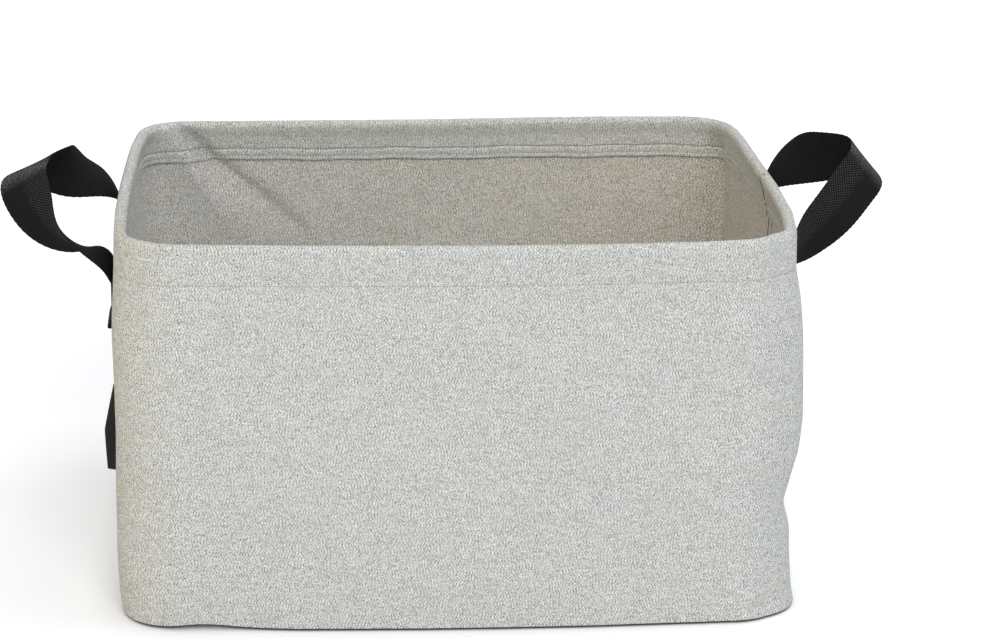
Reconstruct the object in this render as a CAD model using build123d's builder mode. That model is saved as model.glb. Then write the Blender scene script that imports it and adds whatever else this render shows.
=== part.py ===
from build123d import *
import math
import os

# A soft rectangular storage bin: cloth walls on a stiff base, a stiffened rim, two webbing handles.
# Millimetres. Origin at the centre of the underside, +X along the long side, front faces -Y, +Z up.

# Bin
bin_width = 470.0
bin_depth = 370.0
bin_height = 279.0
corner_radius = 40.0
cloth_thickness = 1.2

# Base
board_thickness = 2.5
lining_thickness = 0.8
base_gap = 0.1
binding_width = 12.0
binding_thickness = 0.8

# Side seams
seam_tape_width = 14.0
seam_tape_thickness = 0.8

# Rim
hem_depth = 32.0
hem_neck_depth = 17.0
rim_tube_diameter = 6.0
rim_tube_bore = 4.0
rim_tube_gap = 0.15
rim_plug_length = 60.0
rim_plug_gap = 0.05
hem_stitch_depth = 30.0
thread_width = 0.7
thread_height = 0.45

# Webbing handles
webbing_width = 38.0
webbing_thickness = 1.8
handle_spacing = 140.0
handle_drop = 51.0
sewn_length = 38.0
sewn_margin = 4.5
end_flare = 2.5
end_flare_length = 9.0
loop_rise = 60.0
left_loop_reach = 70.0
right_loop_reach = 72.0
apex_tilt = 38.0
loop_sections = 17

# Label
label_height = 64.0
label_reach = 19.0
label_thickness = 1.0
label_floor_height = 54.0
label_root_reach = 1.6

# Free space between cloth pieces that move past each other
soft_gap = 0.3

half_width = bin_width / 2
half_depth = bin_depth / 2
inner_width = bin_width - 2 * cloth_thickness
inner_depth = bin_depth - 2 * cloth_thickness
inner_radius = corner_radius - cloth_thickness
hem_bottom = bin_height - hem_depth
wall_top = hem_bottom - soft_gap
board_bottom = cloth_thickness
lining_bottom = board_bottom + board_thickness
binding_bottom = lining_bottom + lining_thickness
binding_top = binding_bottom + binding_width
sewn_top = bin_height - handle_drop
sewn_bottom = sewn_top - sewn_length
webbing_face = soft_gap + webbing_thickness
hinge_out = webbing_face + thread_height + soft_gap + webbing_thickness / 2
hinge_height = sewn_top - webbing_thickness / 2

os.makedirs("parts", exist_ok=True)


def save(builder, name):
    builder.part.label = name
    export_step(builder.part, f"parts/{name}.step")


# Base panel, board and lining, stacked inside the walls
base_layers = (
    ("base_panel", 0.0, cloth_thickness),
    ("base_board", board_bottom, board_thickness),
    ("base_lining", lining_bottom, lining_thickness),
)
for name, height, thickness in base_layers:
    with BuildPart() as base_layer:
        with BuildSketch(Plane.XY.offset(height)):
            RectangleRounded(inner_width - 2 * base_gap, inner_depth - 2 * base_gap, inner_radius - base_gap)
        extrude(amount=thickness)
    save(base_layer, name)

# Binding tape that covers the seam between walls and base
binding_outset = 2 * base_gap
binding_inset = binding_outset + 2 * binding_thickness
with BuildPart() as base_binding:
    with BuildSketch(Plane.XY.offset(binding_bottom)):
        RectangleRounded(inner_width - binding_outset, inner_depth - binding_outset, inner_radius - binding_outset / 2)
        RectangleRounded(
            inner_width - binding_inset,
            inner_depth - binding_inset,
            inner_radius - binding_inset / 2,
            mode=Mode.SUBTRACT,
        )
    extrude(amount=binding_width)
save(base_binding, "base_binding")

# Wall panels: each is half of the bin's outline and meets the other at the side seams
for name, side in (("front_wall", Align.MAX), ("back_wall", Align.MIN)):
    with BuildPart() as wall:
        with BuildSketch():
            RectangleRounded(bin_width, bin_depth, corner_radius)
            RectangleRounded(inner_width, inner_depth, inner_radius, mode=Mode.SUBTRACT)
            Rectangle(bin_width, half_depth, align=(Align.CENTER, side), mode=Mode.INTERSECT)
        extrude(amount=wall_top)
    save(wall, name)

# Tapes over the side seams, inside
for name, outward in (("left_seam_tape", -1), ("right_seam_tape", 1)):
    tape_middle = half_width - cloth_thickness - seam_tape_thickness / 2
    with BuildPart() as seam_tape:
        with BuildSketch(Plane.XY.offset(binding_top)):
            with Locations((outward * tape_middle, 0)):
                Rectangle(seam_tape_thickness, seam_tape_width)
        extrude(amount=wall_top - binding_top)
    save(seam_tape, name)

# Rim: the hem's cloth rolls over a stiff tube and comes back down inside
roll_radius = rim_tube_diameter / 2 + rim_tube_gap + cloth_thickness
roll_height = bin_height - roll_radius
neck_inset = 2 * cloth_thickness
neck_height = bin_height - hem_neck_depth
neck_distance = math.hypot(neck_inset - roll_radius, neck_height - roll_height)
tangent_angle = math.atan2(neck_height - roll_height, neck_inset - roll_radius) + math.acos(
    roll_radius / neck_distance
)
roll_end = (
    roll_radius + roll_radius * math.cos(tangent_angle),
    roll_height + roll_radius * math.sin(tangent_angle),
)


# Section plane on the left seam, local x into the bin and local y up
rim_plane = Plane(origin=(-half_width, 0, 0), x_dir=(1, 0, 0), z_dir=(0, -1, 0))


def rim_corners(front, inset):
    x = half_width - inset
    y = front * (half_depth - inset)
    return (-x, 0), (-x, y), (x, y), (x, 0)


for half, front in (("front", -1), ("back", 1)):
    with BuildPart() as hem:
        with BuildLine() as rim_edge:
            FilletPolyline(*rim_corners(front, 0), radius=corner_radius)
        with BuildSketch(rim_plane):
            with BuildLine():
                Line((0, hem_bottom), (0, roll_height))
                ThreePointArc((0, roll_height), (roll_radius, bin_height), roll_end)
                Line(roll_end, (neck_inset, neck_height))
                Line((neck_inset, neck_height), (neck_inset, hem_bottom))
                Line((neck_inset, hem_bottom), (0, hem_bottom))
            make_face()
            with Locations((roll_radius, roll_height)):
                Circle(rim_tube_diameter / 2 + rim_tube_gap, mode=Mode.SUBTRACT)
        sweep(path=rim_edge.wire())
    save(hem, f"{half}_hem")

    with BuildPart() as rim_tube:
        with BuildLine(Plane.XY.offset(roll_height)) as tube_line:
            FilletPolyline(*rim_corners(front, roll_radius), radius=corner_radius - roll_radius)
        with BuildSketch(rim_plane):
            with Locations((roll_radius, roll_height)):
                Circle(rim_tube_diameter / 2)
                Circle(rim_tube_bore / 2, mode=Mode.SUBTRACT)
        sweep(path=tube_line.wire())
    save(rim_tube, f"{half}_rim_tube")

    with BuildPart() as hem_stitching:
        with BuildLine() as stitch_edge:
            FilletPolyline(*rim_corners(front, 0), radius=corner_radius)
        with BuildSketch(rim_plane):
            with Locations((-thread_height / 2, bin_height - hem_stitch_depth)):
                Rectangle(thread_height, thread_width)
            with Locations((neck_inset + thread_height / 2, bin_height - hem_stitch_depth)):
                Rectangle(thread_height, thread_width)
        sweep(path=stitch_edge.wire())
    save(hem_stitching, f"{half}_hem_stitching")

# Plugs that join the two halves of the rim tube at the side seams
for name, outward in (("left_rim_plug", -1), ("right_rim_plug", 1)):
    with BuildPart() as rim_plug:
        with BuildSketch(Plane.XZ.offset(-rim_plug_length / 2)):
            with Locations((outward * (half_width - roll_radius), roll_height)):
                Circle(rim_tube_bore / 2 - rim_plug_gap)
        extrude(amount=rim_plug_length)
    save(rim_plug, name)

# Webbing ends sewn flat on the side walls, with the loose tip standing off a little
tip_start = sewn_bottom + end_flare_length
stitch_width = webbing_width - 2 * sewn_margin
stitch_height = sewn_top - sewn_margin - tip_start
stitch_diagonal = math.hypot(stitch_width, stitch_height) - 2 * thread_width
stitch_lean = math.degrees(math.atan2(stitch_height, stitch_width))
for side, outward in (("left", -1), ("right", 1)):
    for place, front in (("front", -1), ("back", 1)):
        end_middle = front * handle_spacing / 2
        # Seen along the wall, x runs out of the wall and y runs up
        end_plane = Plane(
            origin=(outward * half_width, end_middle, 0), x_dir=(outward, 0, 0), z_dir=(0, -outward, 0)
        )
        with BuildPart() as strap_end:
            with BuildSketch(end_plane):
                with BuildLine():
                    Polyline(
                        (soft_gap, sewn_top),
                        (soft_gap, tip_start),
                        (soft_gap + end_flare, sewn_bottom),
                        (webbing_face + end_flare, sewn_bottom),
                        (webbing_face, tip_start),
                        (webbing_face, sewn_top),
                        close=True,
                    )
                make_face()
            extrude(amount=webbing_width / 2, both=True)
        save(strap_end, f"{side}_strap_{place}_end")

    # Square and cross of thread on both ends of one handle
    stitch_plane = Plane(
        origin=(outward * (half_width + webbing_face), 0, tip_start + stitch_height / 2),
        x_dir=(0, outward, 0),
        z_dir=(outward, 0, 0),
    )
    with BuildPart() as strap_stitching:
        with BuildSketch(stitch_plane):
            with GridLocations(handle_spacing, 0, 2, 1):
                Rectangle(stitch_width, stitch_height)
                Rectangle(stitch_width - 2 * thread_width, stitch_height - 2 * thread_width, mode=Mode.SUBTRACT)
                for lean in (stitch_lean, -stitch_lean):
                    Rectangle(stitch_diagonal, thread_width, rotation=lean)
        extrude(amount=thread_height)
    save(strap_stitching, f"{side}_strap_stitching")


def loop_station(angle, outward, reach):
    # Middle of the webbing, its run and its width direction at one place on the arch
    along = math.sin(angle)
    out = math.cos(angle)
    middle = Vector(
        outward * (half_width + hinge_out + reach * out),
        along * handle_spacing / 2,
        hinge_height + loop_rise * out,
    )
    run = Vector(-outward * reach * along, out * handle_spacing / 2, -loop_rise * along).normalized()
    tilt = math.radians(apex_tilt)
    width = Vector(outward * out * math.cos(tilt), -along, -out * math.sin(tilt))
    width = width - run * width.dot(run)
    return middle, run, width.normalized()


# Free loops: the webbing leaves the wall, turns on edge and arches out to the other end.
# Both tips run half a thickness past the swing axis, so they stay close to the sewn ends.
tip_overrun = webbing_thickness / 2
for name, outward, reach in (
    ("left_strap_loop", -1, left_loop_reach),
    ("right_strap_loop", 1, right_loop_reach),
):
    angles = [math.pi * (index / (loop_sections - 1) - 0.5) for index in range(loop_sections)]
    stations = [loop_station(angle, outward, reach) for angle in angles]
    first_middle, first_run, first_width = stations[0]
    last_middle, last_run, last_width = stations[-1]
    stations.insert(0, (first_middle - first_run * tip_overrun, first_run, first_width))
    stations.append((last_middle + last_run * tip_overrun, last_run, last_width))
    with BuildPart() as strap_loop:
        for middle, run, width in stations:
            with BuildSketch(Plane(origin=middle, x_dir=width, z_dir=run)):
                Rectangle(webbing_width, webbing_thickness)
        loft(ruled=True)
    save(strap_loop, name)

# Label tab in the left side seam, and the end of it that the seam holds
root_start = half_width + soft_gap
root_end = root_start + label_root_reach
label_axis = root_end + soft_gap + label_thickness / 2
with BuildPart() as label_seam_end:
    with BuildSketch(Plane.XY.offset(label_floor_height)):
        with Locations((-(root_start + root_end) / 2, 0)):
            Rectangle(label_root_reach, label_thickness)
    extrude(amount=label_height)
save(label_seam_end, "label_seam_end")

with BuildPart() as label_tab:
    with BuildSketch(Plane.XY.offset(label_floor_height)):
        with Locations((-label_axis, 0)):
            Circle(label_thickness / 2)
        with Locations((-label_axis, 0)):
            Rectangle(half_width + label_reach - label_axis, label_thickness, align=(Align.MAX, Align.CENTER))
    extrude(amount=label_height)
save(label_tab, "label_tab")
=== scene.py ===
import math

import bmesh
import bpy
import numpy as np
from mathutils import Matrix, Vector


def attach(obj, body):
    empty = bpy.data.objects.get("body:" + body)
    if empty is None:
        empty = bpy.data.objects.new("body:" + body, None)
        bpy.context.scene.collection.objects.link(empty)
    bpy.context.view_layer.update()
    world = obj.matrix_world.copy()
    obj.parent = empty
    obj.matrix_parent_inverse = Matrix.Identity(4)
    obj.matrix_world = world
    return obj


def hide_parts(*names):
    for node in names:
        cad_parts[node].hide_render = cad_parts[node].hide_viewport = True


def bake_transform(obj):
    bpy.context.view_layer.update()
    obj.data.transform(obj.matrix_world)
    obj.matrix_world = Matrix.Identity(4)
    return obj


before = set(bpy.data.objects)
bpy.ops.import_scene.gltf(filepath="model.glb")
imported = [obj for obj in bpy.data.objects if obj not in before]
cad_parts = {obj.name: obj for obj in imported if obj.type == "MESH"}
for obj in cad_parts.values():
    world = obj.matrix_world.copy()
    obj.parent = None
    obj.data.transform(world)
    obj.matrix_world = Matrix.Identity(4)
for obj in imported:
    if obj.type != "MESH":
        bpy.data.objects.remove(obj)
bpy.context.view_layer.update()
scene = bpy.context.scene
scene.view_settings.view_transform = "Standard"
rng = np.random.default_rng(11)

# Metres. The bin stands on z = 0 with its front towards -Y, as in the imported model.
binSize = dict(width=0.470, depth=0.370, height=0.279, radius=0.040, cloth=0.0012)
millimetre = 0.001

sideRun = binSize["depth"] / 2 - binSize["radius"]     # from a side seam to the corner
frontRun = binSize["width"] - 2 * binSize["radius"]
cornerRun = math.pi / 2 * binSize["radius"]
halfRound = 2 * sideRun + 2 * cornerRun + frontRun     # seam to seam along one panel
fullRound = 2 * halfRound


def rgb(red, green, blue):
    # screen colour, 0 to 255, to the linear colour that nodes take
    parts = [c / 255 for c in (red, green, blue)]
    parts = [c / 12.92 if c <= 0.04045 else ((c + 0.055) / 1.055) ** 2.4 for c in parts]
    return (*parts, 1.0)


def ease(low, high, x):
    t = np.clip((np.asarray(x, float) - low) / (high - low), 0, 1)
    return t * t * (3 - 2 * t)


def hump(x, middle, spread):
    return np.exp(-(((np.asarray(x, float) - middle) / spread) ** 2))


def unit(vectors):
    return vectors / np.linalg.norm(vectors, axis=-1, keepdims=True)


def distances(line):
    # how far along a line of points each point lies
    return np.concatenate([[0], np.cumsum(np.linalg.norm(np.diff(line, axis=0), axis=1))])


def roundedOff(line, softness, edges):
    # takes the corners off a line that has one value for each millimetre
    reach = np.arange(-0.020, 0.0201, millimetre)
    kernel = hump(reach, 0, softness)
    return np.convolve(np.pad(line, 20, mode=edges), kernel / kernel.sum(), mode="valid")


def softCurve(points, x, softness=0.004):
    # a line through (place, value) points with its corners rounded off
    fine = np.arange(-0.03, 0.33, millimetre)
    places, values = np.array(points, float).T
    line = roundedOff(np.interp(fine, places, values), softness, "edge")
    return np.interp(x, fine, line)


# Node helpers

def addNode(tree, kind, inputs=None, **settings):
    node = tree.nodes.new(kind)
    for key, value in settings.items():
        setattr(node, key, value)
    for key, value in (inputs or {}).items():
        plug(tree, value, node.inputs[key])
    return node


def plug(tree, value, socket):
    if isinstance(value, bpy.types.NodeSocket):
        tree.links.new(value, socket)
    else:
        socket.default_value = value


def calc(tree, operation, *values):
    return addNode(tree, "ShaderNodeMath", dict(enumerate(values)), operation=operation).outputs[0]


def vectorCalc(tree, operation, *values):
    return addNode(tree, "ShaderNodeVectorMath", dict(enumerate(values)), operation=operation)


def remap(tree, value, low, high, newLow=0.0, newHigh=1.0):
    sockets = {"Value": value, "From Min": low, "From Max": high, "To Min": newLow, "To Max": newHigh}
    return addNode(tree, "ShaderNodeMapRange", sockets).outputs[0]


def mixColour(tree, factor, first, second, blend="MIX"):
    sockets = {0: factor, 6: first, 7: second}     # 6 and 7 take colours
    return addNode(tree, "ShaderNodeMix", sockets, data_type="RGBA", blend_type=blend).outputs[2]


def mixValue(tree, factor, first, second):
    return addNode(tree, "ShaderNodeMix", {0: factor, 2: first, 3: second}).outputs[0]


def noise(tree, place, scale, detail=0.0, rough=0.5):
    sockets = {"Vector": place, "Scale": scale, "Detail": detail, "Roughness": rough}
    return addNode(tree, "ShaderNodeTexNoise", sockets).outputs[0]


def chance(tree, x, y):
    # a number of its own, 0 to 1, for every whole x and y
    place = joinXYZ(tree, x, y)
    return addNode(tree, "ShaderNodeTexWhiteNoise", {"Vector": place}, noise_dimensions="2D").outputs[0]


def joinXYZ(tree, x, y, z=0.0):
    return addNode(tree, "ShaderNodeCombineXYZ", {"X": x, "Y": y, "Z": z}).outputs[0]


def splitXY(tree, place):
    split = addNode(tree, "ShaderNodeSeparateXYZ", {0: place})
    return split.outputs[0], split.outputs[1]


def newGroup(name, inputs):
    # every effect puts out a colour, a height for the relief and a roughness
    group = bpy.data.node_groups.new(name, "ShaderNodeTree")
    outputs = {"Color": "Color", "Height": "Float", "Roughness": "Float"}
    for inOut, sockets in (("INPUT", inputs), ("OUTPUT", outputs)):
        for label, kind in sockets.items():
            group.interface.new_socket(label, in_out=inOut, socket_type="NodeSocket" + kind)
    return group, group.nodes.new("NodeGroupInput").outputs


def putOut(group, colour, height, roughness):
    addNode(group, "NodeGroupOutput", {"Color": colour, "Height": height, "Roughness": roughness})
    return group


# Shared effects

weave = dict(
    strayScale=0.09, stray=(0.6, 0.6, 0),     # how the threads wander, in pitches
    rows=5.0, threads=3.0,     # rows of weft and threads of warp to a pitch
    stretch=0.25, stagger=0.37,     # stretches of weft to a pitch, and the shift from row to row
    gapSlope=1.6, gapHeight=0.6, gapShade=0.85, gapMiddle=0.80,
    toneSpread=0.80, shade=0.64, slubShade=-0.09,
    driftTint=(0.985, 0.965, 0.885, 1), paintedWarmTint=(1.0, 0.95, 0.85, 1),
)


def plainWeaveGroup():
    # over-and-under threads, each with its own tone, with dark flecks, a slow drift of colour and painted
    # warm light
    group, given = newGroup("plainWeave", {
        "Place": "Vector", "Pitch": "Float", "Light": "Color", "Dark": "Color",
        "Fleck": "Color", "Fleck Amount": "Float", "Drift": "Float", "Painted Warm Light": "Float",
    })

    def times(value, factor):
        return calc(group, "MULTIPLY", value, factor)

    def rounded(place, count):
        return calc(group, "ABSOLUTE", calc(group, "SINE", times(place, count * math.pi)))

    pitch = joinXYZ(group, given["Pitch"], given["Pitch"], 1.0)
    threads = vectorCalc(group, "DIVIDE", given["Place"], pitch).outputs[0]
    wander = {"Vector": threads, "Scale": weave["strayScale"], "Detail": 1.0}
    wander = addNode(group, "ShaderNodeTexNoise", wander).outputs["Color"]
    u, v = splitXY(group, vectorCalc(group, "MULTIPLY_ADD", wander, weave["stray"], threads).outputs[0])

    # each short stretch of weft starts at its own place; three thin threads lie between two gaps,
    # each with its own tone
    rowPlace = times(v, weave["rows"])
    row = calc(group, "FLOOR", rowPlace)
    stretch = calc(group, "MULTIPLY_ADD", row, weave["stagger"], times(u, weave["stretch"]))
    shifted = calc(group, "ADD", u, chance(group, calc(group, "FLOOR", stretch), row))
    tone = chance(group, calc(group, "FLOOR", times(shifted, weave["threads"])), row)
    gap = calc(group, "MINIMUM", times(rounded(shifted, 1.0), weave["gapSlope"]), 1.0)
    crowns = times(rounded(shifted, weave["threads"]), rounded(rowPlace, 1.0))
    height = calc(group, "MULTIPLY_ADD", gap, weave["gapHeight"], crowns)
    ownTone, inGap = calc(group, "SUBTRACT", tone, 0.5), calc(group, "SUBTRACT", gap, weave["gapMiddle"])
    shade = calc(group, "MULTIPLY_ADD", ownTone, weave["toneSpread"], weave["shade"])
    shade = calc(group, "MULTIPLY_ADD", inGap, weave["gapShade"], shade)

    def patches(alongScale, acrossScale, layer, detail, rough=0.5):
        place = joinXYZ(group, times(u, alongScale), times(v, acrossScale), layer)
        return noise(group, place, 1.0, detail, rough)

    # slubs: stretches of thicker, darker weft, longer along the thread than across it
    slub = remap(group, patches(0.10, 0.55, 4.0, 2.0, 0.55), 0.40, 0.75)
    shade = calc(group, "MULTIPLY_ADD", slub, weave["slubShade"], shade)
    colour = mixColour(group, shade, given["Dark"], given["Light"])
    speck = remap(group, patches(1.3, 1.7, 0.0, 1.0, 0.6), 0.66, 0.72)
    colour = mixColour(group, times(speck, given["Fleck Amount"]), colour, given["Fleck"])
    slow = remap(group, patches(0.07, 0.14, 2.0, 2.0), 0.36, 0.66)
    drifted = mixColour(group, 1.0, colour, weave["driftTint"], "MULTIPLY")
    colour = mixColour(group, times(slow, given["Drift"]), colour, drifted)
    # painted warm light: the colour is tinted yellow by the given share
    paintedWarmColour = mixColour(group, 1.0, colour, weave["paintedWarmTint"], "MULTIPLY")
    colour = mixColour(group, given["Painted Warm Light"], colour, paintedWarmColour)
    return putOut(group, colour, height, remap(group, tone, 0.0, 1.0, 0.96, 0.84))


def twillGroup():
    # heavy webbing: slanting rows of small floats on one half and fine ribs on the other,
    # with pale fluff at the crown; the floats are coloured light as painted highlights
    group, given = newGroup("webbingTwill", {
        "Place": "Vector", "Pitch": "Float", "Base": "Color", "Painted Highlight": "Color",
        "Fluff": "Color", "Fluff Amount": "Float", "Fluff Reach": "Float",
    })
    along, across = splitXY(group, given["Place"])

    def rows(place, count):
        turns = calc(group, "MULTIPLY", calc(group, "DIVIDE", place, given["Pitch"]), count * 2 * math.pi)
        return calc(group, "MULTIPLY_ADD", calc(group, "SINE", turns), 0.5, 0.5)

    stagger = calc(group, "MULTIPLY_ADD", along, 0.7, across)     # slants the floats from row to row
    floats = remap(group, calc(group, "MULTIPLY", rows(along, 1.0), rows(stagger, 0.71)), 0.30, 0.80)
    ribs = rows(calc(group, "MULTIPLY_ADD", across, 0.25, along), 1.1)
    # one half shows the floats in the painted highlight colour, the other only dim ribs
    half = remap(group, across, -0.003, 0.003)
    height = mixValue(group, half, floats, calc(group, "MULTIPLY", ribs, 0.16))
    fibre = noise(group, given["Place"], 1500.0, 2.0)
    tone = calc(group, "MULTIPLY", height, remap(group, fibre, 0.3, 0.75, 0.35, 1.0))
    colour = mixColour(group, tone, given["Base"], given["Painted Highlight"])
    away = calc(group, "DIVIDE", calc(group, "ABSOLUTE", along), given["Fluff Reach"])
    rubbed = remap(group, away, 0.15, 1.0, 1.0, 0.0)
    hairs = remap(group, noise(group, given["Place"], 1100.0, 3.0, 0.75), 0.51, 0.60)
    fluff = calc(group, "MULTIPLY", calc(group, "MULTIPLY", rubbed, hairs), given["Fluff Amount"])
    colour = mixColour(group, fluff, colour, given["Fluff"])
    height = calc(group, "MULTIPLY_ADD", fibre, 0.25, height)
    return putOut(group, colour, height, remap(group, fibre, 0.3, 0.7, 0.72, 0.92))


def fineGrainGroup():
    # even speckle for card, plastic and sewing thread
    group, given = newGroup("fineGrain", {"Scale": "Float", "Light": "Color", "Dark": "Color"})
    place = group.nodes.new("ShaderNodeTexCoord").outputs["Object"]
    grain = noise(group, place, given["Scale"], 3.0, 0.6)
    colour = mixColour(group, remap(group, grain, 0.3, 0.7), given["Dark"], given["Light"])
    return putOut(group, colour, grain, remap(group, grain, 0.3, 0.7, 0.55, 0.8))


plainWeave, webbingTwill, fineGrain = plainWeaveGroup(), twillGroup(), fineGrainGroup()


def groupMaterial(name, group, values, strength, depth, sheen=0.0, gloss=0.25, warmAt=None):
    material = bpy.data.materials.new(name)
    material.use_nodes = True
    tree = material.node_tree
    shader = tree.nodes["Principled BSDF"]
    effect = addNode(tree, "ShaderNodeGroup", node_tree=group)
    for key, value in values.items():
        effect.inputs[key].default_value = value
    if "Place" in effect.inputs:
        place = addNode(tree, "ShaderNodeUVMap", uv_map="clothUv").outputs[0]
        tree.links.new(place, effect.inputs["Place"])
    # painted warm light, strongest at one place round the outline and fading ahead of it and behind it
    if warmAt:
        away = calc(tree, "SUBTRACT", splitXY(tree, place)[0], warmAt["run"])
        ahead = calc(tree, "DIVIDE", away, warmAt["ahead"])
        behind = calc(tree, "DIVIDE", away, -warmAt["behind"])
        near = remap(tree, calc(tree, "MAXIMUM", ahead, behind), 0.0, 1.0, 1.0, 0.0)
        tree.links.new(calc(tree, "POWER", near, 1.6), effect.inputs["Painted Warm Light"])
    relief = {"Height": effect.outputs["Height"], "Strength": strength, "Distance": depth}
    relief = addNode(tree, "ShaderNodeBump", relief)
    tree.links.new(effect.outputs["Color"], shader.inputs["Base Color"])
    tree.links.new(effect.outputs["Roughness"], shader.inputs["Roughness"])
    tree.links.new(relief.outputs[0], shader.inputs["Normal"])
    shader.inputs["Specular IOR Level"].default_value = gloss
    if sheen:
        shader.inputs["Sheen Weight"].default_value = sheen
        shader.inputs["Sheen Roughness"].default_value = 0.6
    return material


def weaveMaterial(name, pitch, light, dark, fleck, flecks, drift, **more):
    values = {"Pitch": pitch, "Light": rgb(*light), "Dark": rgb(*dark), "Drift": drift}
    return groupMaterial(name, plainWeave, values | {"Fleck": rgb(*fleck), "Fleck Amount": flecks}, **more)


def grainMaterial(name, scale, light, dark, strength=0.3, depth=0.0001):
    values = {"Scale": scale, "Light": rgb(*light), "Dark": rgb(*dark)}
    return groupMaterial(name, fineGrain, values, strength, depth)


insideShift = (0.37, 0.61)     # moves the pattern on the inside of the cloth
linenLook = dict(
    pitch=0.00215, light=(240, 243, 242), dark=(101, 102, 102), fleck=(72, 70, 66), flecks=0.9, drift=0.4,
    strength=0.35, depth=0.0004, sheen=0.05,
)
insideLook = dict(linenLook, light=(250, 250, 249), dark=(80, 80, 79), fleck=(62, 60, 56), drift=0.6)

# painted warm light: yellower towards the front left corner; the hem inside and the inner face, towards the
# right seam
linen = weaveMaterial("linenCloth", **linenLook, warmAt=dict(run=0.150, behind=0.145, ahead=0.070))
linenTurned = weaveMaterial("linenTurned", **linenLook, warmAt=dict(run=halfRound, behind=0.40, ahead=0.40))
linenInside = weaveMaterial(
    "linenInside", **insideLook, warmAt=dict(run=halfRound + insideShift[0], behind=0.80, ahead=0.80))
liningCloth = weaveMaterial(
    "liningCloth", pitch=0.0015, light=(226, 225, 220), dark=(140, 139, 134), fleck=(120, 118, 112),
    flecks=0.3, drift=0.3, strength=0.25, depth=0.0003)
bindingTape = weaveMaterial(
    "bindingTape", pitch=0.0016, light=(240, 237, 231), dark=(104, 101, 96), fleck=(90, 88, 84),
    flecks=0.5, drift=0.5, strength=0.4, depth=0.0004)
labelCloth = weaveMaterial(
    "labelCloth", pitch=0.0012, light=(48, 48, 49), dark=(14, 14, 15), fleck=(70, 70, 70),
    flecks=0.15, drift=0.1, strength=0.3, depth=0.0002, sheen=0.1)
# the raised floats are coloured light as painted highlights
webbing = groupMaterial(
    "blackWebbing", webbingTwill,
    {"Pitch": 0.0015, "Base": rgb(12, 12, 13), "Painted Highlight": rgb(108, 108, 110),
     "Fluff": rgb(176, 176, 176), "Fluff Amount": 0.6, "Fluff Reach": 0.013},
    strength=0.5, depth=0.0005, gloss=0.06,
)
# the hem thread is a little darker than the cloth: painted shade of its stitch dimples
hemThread = grainMaterial("hemThread", scale=2500.0, light=(186, 184, 178), dark=(140, 138, 132))
# a dark colour put where there is only shade: in the hem's open join, on the edge on the floor and along the
# seam tapes
paintedShade = grainMaterial("paintedShade", scale=1500.0, light=(92, 86, 74), dark=(48, 44, 38), depth=0.0002)
webbingThread = grainMaterial("webbingThread", scale=2500.0, light=(52, 52, 53), dark=(26, 26, 27))
greyCard = grainMaterial(
    "greyCard", scale=500.0, light=(168, 158, 142), dark=(138, 128, 112), strength=0.2, depth=0.0003)
rimPlastic = grainMaterial(
    "rimPlastic", scale=1200.0, light=(228, 228, 226), dark=(206, 206, 204), strength=0.05, depth=0.0002)
print("materials ready:", len(bpy.data.materials))


# Mesh helpers

def makePiece(name, points, faces, material, uv=None, sharp=40, others=()):
    mesh = bpy.data.meshes.new(name)
    mesh.from_pydata(np.asarray(points).reshape(-1, 3).tolist(), [], [list(f) for f in faces])
    if uv is not None:
        layer = mesh.uv_layers.new(name="clothUv")
        corner = np.zeros(len(mesh.loops), np.int32)
        mesh.loops.foreach_get("vertex_index", corner)
        layer.data.foreach_set("uv", np.asarray(uv).reshape(-1, 2)[corner].astype(np.float32).ravel())
    work = bmesh.new()
    work.from_mesh(mesh)
    bmesh.ops.recalc_face_normals(work, faces=work.faces)
    work.to_mesh(mesh)
    work.free()
    mesh.polygons.foreach_set("use_smooth", np.ones(len(mesh.polygons), bool))
    mesh.set_sharp_from_angle(angle=math.radians(sharp))
    mesh.materials.append(material)
    for index, (other, numbers) in enumerate(others, 1):
        mesh.materials.append(other)
        for number in numbers:
            mesh.polygons[number].material_index = index
    piece = bpy.data.objects.new(name, mesh)
    scene.collection.objects.link(piece)
    return piece


def gridFaces(rows, columns, closed=False, start=0):
    # quads over a grid of points, row by row; closed joins the last column to the first
    i, j = np.meshgrid(np.arange(rows - 1), np.arange(columns if closed else columns - 1), indexing="ij")
    k = (j + 1) % columns
    quads = np.stack([i * columns + j, (i + 1) * columns + j, (i + 1) * columns + k, i * columns + k], -1)
    return (quads.reshape(-1, 4) + start).tolist()


def sheetPiece(name, outer, inner, material, uvOuter, uvInner, backing=None, marked=()):
    # a cloth sheet with thickness: two faces given as equal grids, closed round all four edges;
    # backing is the inner face's material, marked lists areas of the outer face: material, rows, columns
    rows, columns = outer.shape[:2]
    ring = np.concatenate([outer, inner[:, ::-1]], axis=1)
    uv = np.concatenate([uvOuter, uvInner[:, ::-1]], axis=1)
    around = 2 * columns
    faces = gridFaces(rows, around, closed=True)
    for first in (0, (rows - 1) * around):
        for k in range(columns - 1):
            faces.append([first + k, first + k + 1, first + around - 2 - k, first + around - 1 - k])
    areas = list(marked)
    if backing:
        areas.insert(0, (backing, range(rows - 1), range(columns, around - 1)))
    others = [(other, [i * around + j for i in down for j in along]) for other, down, along in areas]
    return makePiece(name, ring, faces, material, uv, others=others)


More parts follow.
